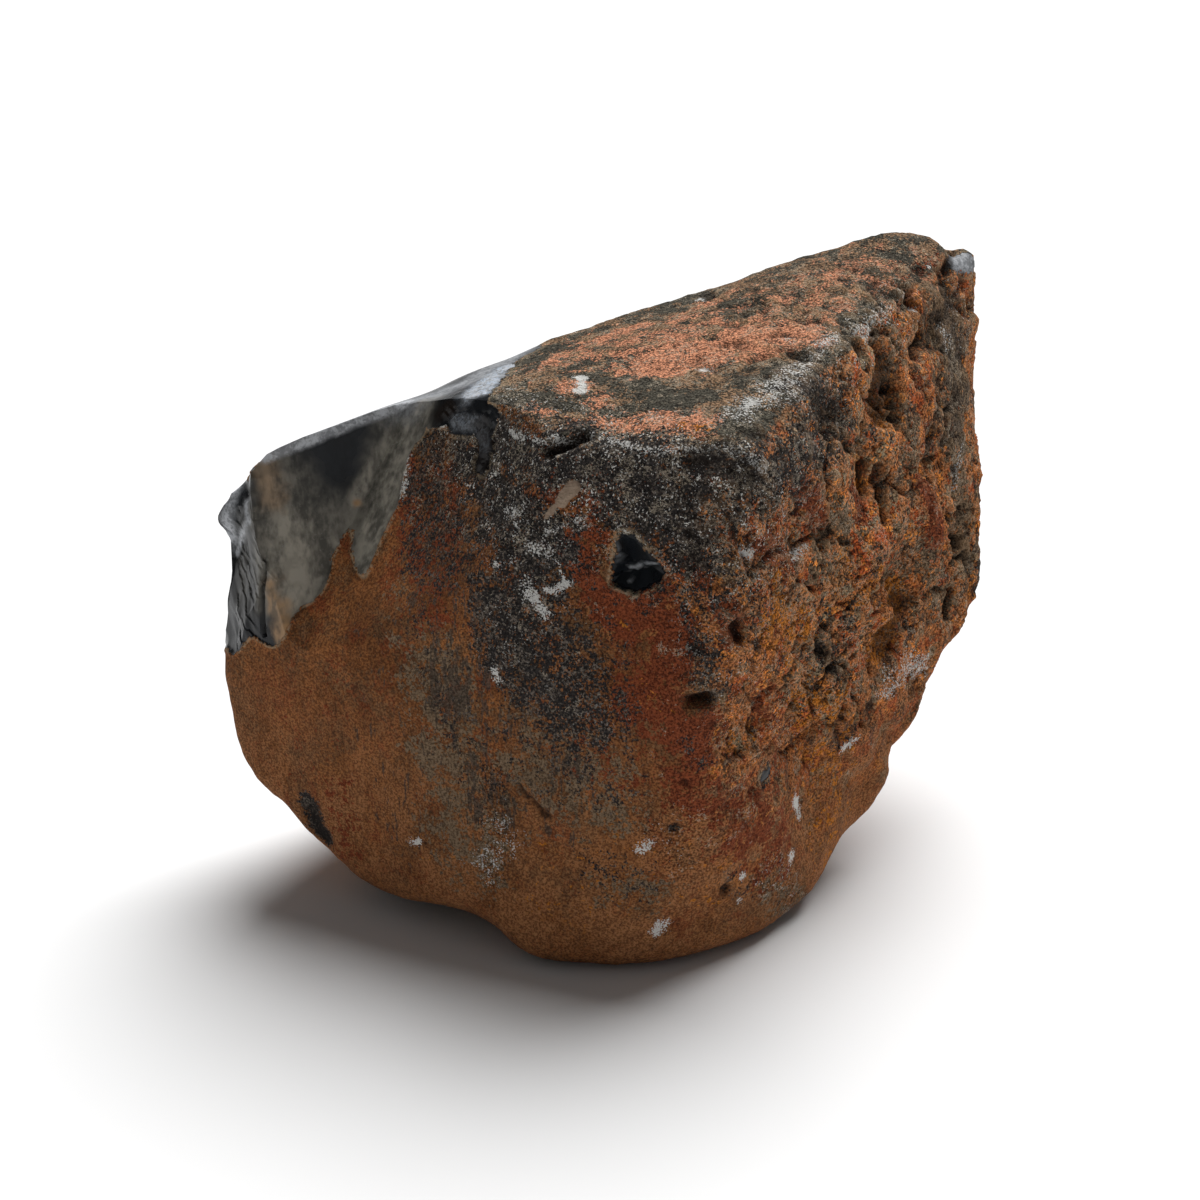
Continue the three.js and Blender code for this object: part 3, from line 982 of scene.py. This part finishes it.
# %% The block's mesh
SHARP_TURN = 0.35  # radians between two faces of glass that keep a crisp edge

write_points(block, shaped)
block.normal_update()
for face in block.faces:
    face.smooth = True  # the frame's own faces are flat, which would facet the glass
for edge in block.edges:
    near, far = (vertex.index for vertex in edge.verts)
    if glass[near] and glass[far] and edge.calc_face_angle(0) > SHARP_TURN:
        edge.smooth = False
mesh = bpy.data.meshes.new("rough_obsidian")
block.to_mesh(mesh)
block.free()
for name, values in masks.items():
    attribute = mesh.attributes.new(name, "FLOAT", "POINT")
    attribute.data.foreach_set("value", values.astype(np.float32))
stone = bpy.data.objects.new("rough_obsidian", mesh)
bpy.context.scene.collection.objects.link(stone)
print("stone box in mm:", (shaped.max(axis=0) - shaped.min(axis=0)).round(1))

# %% [markdown]
# ## The finish
#
# Seen close, the rind is sand: every half millimetre is a grain of its own colour. So
# the colours are not blended. Each crust's amount decides how many grains take its
# colour, as in a pointillist painting, and blots of a few millimetres make the grains
# gather. One shader does rind and glass, because they are one stone.
#
# A photograph wrapped round the block would be quicker, but it would show one side
# only and carry that side's light with it. Noise in the block's own coordinates covers
# every side alike.

# %% Node helpers
EVEN = (1, 1, 1)
UPRIGHT = (1, 1, 0.28)  # grains drawn out upright

finish = bpy.data.materials.new("weathered_obsidian")
finish.use_nodes = True
nodes = finish.node_tree.nodes
shader = nodes["Principled BSDF"]
place = nodes.new("ShaderNodeTexCoord").outputs["Object"]


def feed(socket, value):
    """Links an output to a socket, or sets the socket to a plain value."""
    if isinstance(value, bpy.types.NodeSocket):
        finish.node_tree.links.new(value, socket)
    elif isinstance(value, tuple):
        socket.default_value = (*value, 1)
    else:
        socket.default_value = value


def maths(operation, first, second=0.0):
    """One sum of two numbers."""
    node = nodes.new("ShaderNodeMath")
    node.operation = operation
    feed(node.inputs[0], first)
    feed(node.inputs[1], second)
    return node.outputs[0]


def folded(operation, values):
    """The same sum over a row of values."""
    result = values[0]
    for value in values[1:]:
        result = maths(operation, result, value)
    return result


def plus(*values):
    """The sum of some values."""
    return folded("ADD", values)


def times(*values):
    """The product of some values."""
    return folded("MULTIPLY", values)


def most(*values):
    """The largest of some values."""
    return folded("MAXIMUM", values)


def less(value, whole=1.0):
    """What is left of a whole."""
    return maths("SUBTRACT", whole, value)


def speckle(size, detail, seed, stretch=EVEN, roughness=0.6):
    """Noise with grains of this size in mm, around 0.5."""
    fitted = nodes.new("ShaderNodeMapping")
    feed(fitted.inputs["Vector"], place)
    fitted.inputs["Location"].default_value = (seed * 3.1, seed * 5.7, seed * 1.9)
    fitted.inputs["Scale"].default_value = [axis / (size * MM) for axis in stretch]
    node = nodes.new("ShaderNodeTexNoise")
    feed(node.inputs["Vector"], fitted.outputs[0])
    node.inputs["Scale"].default_value = 1
    node.inputs["Detail"].default_value = detail
    node.inputs["Roughness"].default_value = roughness
    return node.outputs[0]




def step_between(value, low, high, floor=0.0, ceiling=1.0):
    """Floor below low, ceiling above high, and a smooth step between."""
    node = nodes.new("ShaderNodeMapRange")
    node.interpolation_type = "SMOOTHSTEP"
    feed(node.inputs["Value"], value)
    node.inputs["From Min"].default_value = low
    node.inputs["From Max"].default_value = high
    feed(node.inputs["To Min"], floor)
    feed(node.inputs["To Max"], ceiling)
    return node.outputs[0]


def spread_out(value, reach):
    """Noise drawn out from 0.5 plus or minus the reach to fill 0 to 1."""
    node = nodes.new("ShaderNodeMapRange")
    feed(node.inputs["Value"], value)
    node.inputs["From Min"].default_value = 0.5 - reach
    node.inputs["From Max"].default_value = 0.5 + reach
    return node.outputs[0]


def mask(name):
    """One of the masks painted on the mesh."""
    node = nodes.new("ShaderNodeAttribute")
    node.attribute_name = name
    return node.outputs["Fac"]


def mixed(amount, under, over, blend="MIX"):
    """Lays one colour over another."""
    node = nodes.new("ShaderNodeMix")
    node.data_type = "RGBA"
    node.blend_type = blend
    feed(node.inputs[0], amount)
    feed(node.inputs[6], under)
    feed(node.inputs[7], over)
    return node.outputs[2]


# %% Grains of colour
NOISE_REACH = 0.17  # nearly all of a noise texture lies this close to 0.5
CRISP = 0.06
FILLED = 1.15  # an amount of 1 lifts even the lowest grain over this


def mottle(blot, fleck, share, seed, stretch=EVEN):
    """Blots of one size in mm broken up by flecks of another, from 0 to 1. The share
    is the flecks' part."""
    blots = times(speckle(blot, 3, seed, stretch), 1 - share)
    specks = times(speckle(fleck, 2, seed + 0.5, stretch), share)
    return spread_out(plus(blots, specks), NOISE_REACH * math.hypot(1 - share, share))


def grains(amount, pattern, edge=CRISP):
    """Grains over a share of the surface: none where the amount is 0, all where it is 1."""
    return step_between(plus(times(amount, 1.3), pattern), FILLED - edge, FILLED + edge)


def sprinkled(under, amount, tint, pattern, edge=CRISP):
    """Lays grains of a tint over a colour."""
    return mixed(grains(amount, mottle(*pattern), edge), under, tint)


grit = speckle(0.42, 2, 1, roughness=0.7)
flecks = speckle(1.1, 3, 2, roughness=0.65)
fibres = speckle(0.8, 3, 5, UPRIGHT, 0.65)
sandy = most(mask("top"), mask("rough"), mask("crusted"), mask("salt"))
print(len(nodes), "nodes so far")

# %% [markdown]
# ### The brown ground
#
# The oldest skin is an even brown with a fine upright grain, redder here and greyer
# there. Towards the foot it turns a lighter brown, which is painted light against the
# shade there. A plain blend of two browns looks like paint, so every tint comes as
# grains. Each row gives a tint's amount, its colour, and its pattern: blot and fleck in
# mm, the flecks' share and a seed.

# %% The brown ground
BROWNS = ((0.180, 0.066, 0.022), (0.240, 0.092, 0.030))
GROUND = [
    (0.42, (0.140, 0.068, 0.030), (9, 0.6, 0.4, 22)),
    (0.30, (0.185, 0.052, 0.018), (6, 0.6, 0.4, 23)),
]
FIBRE_BROWN = (0.085, 0.042, 0.020)
FOOT_LIGHT_BROWNS = ((0.200, 0.080, 0.030), (0.350, 0.155, 0.065))
SOFT = 0.2

colour = mixed(spread_out(speckle(20, 3, 4), 0.15), *BROWNS)
for amount, tint, pattern in GROUND:
    colour = sprinkled(colour, amount, tint, pattern, SOFT)
colour = mixed(step_between(fibres, 0.5, 0.66, 0, 0.55), colour, FIBRE_BROWN)
clouds = step_between(mottle(7, 2.0, 0.4, 29, (1, 1, 0.6)), 0, 1, 0.78, 1.2)
colour = mixed(1.0, colour, clouds, "MULTIPLY")
# Painted light: towards the foot the ground turns a lighter brown, against the shade there.
foot_light_pattern = step_between(mottle(8, 1.2, 0.45, 33, (1, 1, 0.7)), 0.1, 0.9, 0.15, 1)
colour = mixed(times(mask("low"), foot_light_pattern), colour, mixed(fibres, *FOOT_LIGHT_BROWNS))
print(len(GROUND), "tints in the brown ground")

# %% [markdown]
# ### The rough side
#
# Here the skin has crumbled, and the open pores show every stage of rusting side by
# side: bright orange, brick red, clay grey and nearly black. Its two browns are partly
# painted light: they are made brighter to stand in for light from the right.

# %% The rough side
ROUGH_BROWNS_WITH_PAINTED_LIGHT = ((0.530, 0.155, 0.036), (0.340, 0.175, 0.084))
ROUGH_GROUND = [
    (0.34, (0.270, 0.200, 0.120), (5, 0.7, 0.3, 25)),
    (0.34, (0.420, 0.088, 0.024), (5, 0.7, 0.3, 26)),
    (0.25, (0.820, 0.280, 0.050), (4, 0.7, 0.35, 31)),
    (0.32, (0.045, 0.036, 0.030), (3.5, 0.5, 0.4, 28, (1, 1, 0.6))),
]

rough_colour = mixed(mottle(4, 1.0, 0.4, 6), *ROUGH_BROWNS_WITH_PAINTED_LIGHT)
for amount, tint, pattern in ROUGH_GROUND:
    rough_colour = sprinkled(rough_colour, amount, tint, pattern)
colour = mixed(mask("rough"), colour, rough_colour)
print(len(ROUGH_GROUND), "tints on the rough side")

# %% [markdown]
# ### Crusts over the ground
#
# Later weather laid crusts on the ground, each where its marks say: olive and dark
# streaks first, then the pale top with its salmon, rust and ochre, and last the
# charcoal, which is two greys by itself. A fine pepper and the light and dark of single
# grains go over all of them.

# %% Crusts over the ground
STREAK_BROWN = (0.066, 0.050, 0.038)
TOP_BROWN = (0.230, 0.140, 0.080)
CHARCOALS = ((0.024, 0.021, 0.020), (0.120, 0.100, 0.082))
PEPPER = (0.022, 0.015, 0.011)
TOP_CRUSTS = [
    (mask("salmon"), (0.500, 0.215, 0.120), (4.0, 0.6, 0.4, 8)),
    (mask("rust"), (0.175, 0.043, 0.016), (3.0, 0.7, 0.5, 9)),
    # ochre crust, and one faint mark of painted light along the foot
    (mask("ochre_and_foot_light"), (0.400, 0.135, 0.018), (3.0, 0.8, 0.5, 10)),
]

colour = sprinkled(colour, mask("olive"), (0.165, 0.110, 0.066), (3.5, 0.8, 0.5, 7))
streaks = grains(mask("streaked"), mottle(2.2, 0.6, 0.5, 24, (1, 1, 0.25)))
colour = mixed(times(streaks, 0.8), colour, STREAK_BROWN)
colour = mixed(mask("top"), colour, TOP_BROWN)
for amount, tint, pattern in TOP_CRUSTS:
    colour = sprinkled(colour, amount, tint, pattern)
bare_top = less(times(mask("salmon"), 0.42), 0.55)
top_dark = times(mask("top"), plus(bare_top, times(mask("top_dark"), 0.4)))
colour = sprinkled(colour, top_dark, (0.062, 0.056, 0.042), (4.0, 0.5, 0.42, 11))
charcoal = mixed(grains(0.37, mottle(2.5, 0.5, 0.6, 27), 0.15), *CHARCOALS)
colour = sprinkled(colour, mask("charcoal"), charcoal, (2.2, 0.5, 0.58, 12))
pepper = grains(plus(0.03, times(sandy, 0.26)), mottle(1.6, 0.42, 0.6, 13))
colour = mixed(times(pepper, 0.8), colour, PEPPER)
darkest = step_between(sandy, 0, 1, 0.56, 0.3)
lightest = step_between(sandy, 0, 1, 1.48, 1.78)
colour = mixed(1.0, colour, step_between(grit, 0.38, 0.62, darkest, lightest), "MULTIPLY")
print("the rind's colour takes", len(nodes), "nodes")

# %% [markdown]
# ### Salt, wisps and pale splashes
#
# Salt dries in the open pores as white specks and thin wisps. A wisp is drawn where a
# fine noise crosses its middle value: such a line winds, forks and breaks like a real
# thread of salt, while a scratch texture would repeat. The larger splashes are mineral
# crusts that were marked one by one. Thin pale lines along some rims go on with them;
# these are painted highlights.

# %% Salt, wisps and splashes
WISP_CREAM = (0.560, 0.470, 0.350)
SALT_WHITE = (0.800, 0.780, 0.730)
MINERAL_AND_HIGHLIGHT_WHITE = (0.640, 0.630, 0.600)
CRUMB_TAN = (0.480, 0.280, 0.140)
LEAF_TANS = ((0.240, 0.165, 0.110), (0.420, 0.320, 0.240))
WISP_WIDTH = 0.03
SOFTER = 0.12

from_middle = maths("ABSOLUTE", less(0.5, speckle(1.2, 4, 14, roughness=0.75)))
wispy = grains(plus(times(sandy, 0.38), times(mask("rough"), 0.1)), mottle(4, 0.9, 0.4, 15))
wisps = times(step_between(from_middle, 0, WISP_WIDTH, 1, 0), wispy, 0.85)
colour = mixed(wisps, colour, WISP_CREAM)
salt = grains(plus(times(mask("salt"), 0.13), times(sandy, 0.07)), mottle(2.2, 0.4, 0.68, 16))
colour = mixed(salt, colour, SALT_WHITE)
# White mineral specks, and painted highlights along some rims.
colour = sprinkled(colour, mask("mineral_and_rim_highlight"), MINERAL_AND_HIGHLIGHT_WHITE, (1.4, 0.34, 0.7, 17), SOFTER)
colour = mixed(times(mask("raised"), mask("rough"), 0.3), colour, CRUMB_TAN)
colour = mixed(step_between(mask("leaf"), 0.3, 0.6), colour, mixed(flecks, *LEAF_TANS))
print("and", len(nodes), "with its salt")

# %% [markdown]
# ### The glass
#
# Fresh obsidian is nearly black. What is seen on it is mostly film: grey haze from
# weather, tan dust, and blue-white frost where an edge was crushed into many tiny
# cracks. Some of it is painted light: thin pale lines along the crest, along a crease
# and round the chip, and the bright facet at the top right corner, are painted
# highlights; the sparkle is painted glints; and the slit is painted darker, a painted
# shade. The films lie over black from the lowest to the highest. The border with the
# rind is shifted by small flecks, and a powdery fringe lies along it on the rind. Last,
# pits, clefts and hollows are darkened with painted shade.

# %% Glass
BLACKS = ((0.002, 0.003, 0.004), (0.012, 0.014, 0.018))
RIM_TAN = (0.400, 0.310, 0.200)
PAINTED_PIT_SHADE = (0.010, 0.006, 0.004)

cloud = mottle(5, 1.0, 0.35, 18, (1, 1, 0.5))
dust = step_between(speckle(0.5, 2, 19), 0.6, 0.72)
frost_and_highlight_breakup = step_between(mottle(2.5, 0.6, 0.5, 20), 0.1, 0.9, 0.45, 1)
FILMS = [  # amount and colour
    # haze, and painted highlights along flake B's crease
    (times(mask("haze_and_highlight"), step_between(cloud, 0, 1, 0.35, 1.15)), (0.300, 0.275, 0.225)),
    (times(mask("haze_and_highlight"), dust, 0.35), (0.300, 0.290, 0.260)),
    (times(mask("tan"), step_between(cloud, 0, 0.8, 0.3, 1)), (0.360, 0.215, 0.105)),
    # frost, and painted highlights along the crest, the chip and a corner
    (times(mask("frost_and_highlight"), frost_and_highlight_breakup), (0.500, 0.515, 0.540)),
    (times(mask("sparkle"), grains(0.4, mottle(1.4, 0.4, 0.6, 21))), (0.420, 0.480, 0.560)),
    # painted shade: the slit is darkened to black
    (times(mask("slit"), 0.85), (0.003, 0.003, 0.003)),
]

glass_colour = mixed(times(cloud, 0.6), *BLACKS)
for amount, tint in FILMS:
    glass_colour = mixed(amount, glass_colour, tint)
glass_edge = step_between(plus(mask("glass"), times(less(0.5, flecks), 1.1)), 0.44, 0.56)
fringe = times(step_between(mask("glass"), 0.08, 0.3), less(step_between(mask("glass"), 0.4, 0.7)))
powdery = times(fringe, grains(0.5, mottle(3.5, 0.5, 0.5, 32)))
colour = mixed(times(powdery, 0.5), colour, RIM_TAN)
colour = mixed(glass_edge, colour, glass_colour)
# Painted shade: pits, clefts and hollows are darkened nearly to black.
colour = mixed(times(mask("painted_pit_shade"), 0.9), colour, PAINTED_PIT_SHADE)
feed(shader.inputs["Base Color"], colour)
print(len(FILMS), "films on the glass")

# %% [markdown]
# ### Gloss and touch
#
# The rind is dull all over and the glass shines, a little less under its films. Bump
# adds the sand grains, which are too small for the mesh: it only bends the light, so
# it costs no triangles, and it is taken off the glass again.

# %% Gloss and touch
GLASS_ROUGHNESS = 0.27
FILM_ROUGHNESS = 0.3
GLASS_IOR = 1.5
SPECULAR_LEVEL = 0.16
SAND_HEIGHT = 0.45  # mm

gloss = nodes.new("ShaderNodeMix")
feed(gloss.inputs[0], glass_edge)
feed(gloss.inputs[2], less(times(grit, 0.1)))
feed(gloss.inputs[3], plus(GLASS_ROUGHNESS, times(most(mask("haze_and_highlight"), mask("frost_and_highlight")), FILM_ROUGHNESS)))
feed(shader.inputs["Roughness"], gloss.outputs[0])
shader.inputs["IOR"].default_value = GLASS_IOR
shader.inputs["Specular IOR Level"].default_value = SPECULAR_LEVEL

bump = nodes.new("ShaderNodeBump")
bump.inputs["Distance"].default_value = SAND_HEIGHT * MM
bump.inputs["Strength"].default_value = 1.0
sand = times(plus(grit, times(flecks, 0.9), times(salt, 0.2)), step_between(sandy, 0, 1, 0.5, 1.3))
feed(bump.inputs["Height"], times(sand, less(glass_edge)))
feed(shader.inputs["Normal"], bump.outputs[0])
mesh.materials.append(finish)
print("the whole finish has", len(nodes), "nodes")

# %% [markdown]
# ## Stage and light
#
# The block stands on pale paper under one very wide, soft light that comes from above,
# the right and a little behind. That leaves the front in open shade, lit mostly by the
# paper, and lays a soft shadow to the front left. A weak even sky fills the rest.

# %% Floor and light
FLOOR_SIZE = 20
PAPER = 0.86
SKY = 0.11
LIGHT_FROM = Vector((0.26, 0.48, 1.0))
LIGHT_POWER = 4.25
LIGHT_SPREAD = math.radians(46)

bpy.ops.mesh.primitive_plane_add(size=FLOOR_SIZE, location=(0, 0, 0))
floor = bpy.context.object
floor.name = "floor"
paper = bpy.data.materials.new("pale_paper")
paper.use_nodes = True
paper_shader = paper.node_tree.nodes["Principled BSDF"]
paper_shader.inputs["Base Color"].default_value = (PAPER, PAPER, PAPER, 1)
paper_shader.inputs["Roughness"].default_value = 1
paper_shader.inputs["Specular IOR Level"].default_value = 0
floor.data.materials.append(paper)

world = bpy.data.worlds.new("studio")
world.use_nodes = True
world.node_tree.nodes["Background"].inputs["Color"].default_value = (1, 1, 1, 1)
world.node_tree.nodes["Background"].inputs["Strength"].default_value = SKY
bpy.context.scene.world = world

light = bpy.data.lights.new("soft_light", "SUN")
light.energy = LIGHT_POWER
light.angle = LIGHT_SPREAD
lamp = bpy.data.objects.new("soft_light", light)
lamp.rotation_euler = (-LIGHT_FROM).to_track_quat("-Z", "Y").to_euler()
bpy.context.scene.collection.objects.link(lamp)
bpy.context.scene.view_settings.view_transform = "Standard"
print("one light from", [round(x, 2) for x in LIGHT_FROM])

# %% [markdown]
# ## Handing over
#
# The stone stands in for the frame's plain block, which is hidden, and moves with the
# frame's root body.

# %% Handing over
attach(stone, "root")
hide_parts("obsidian_block")
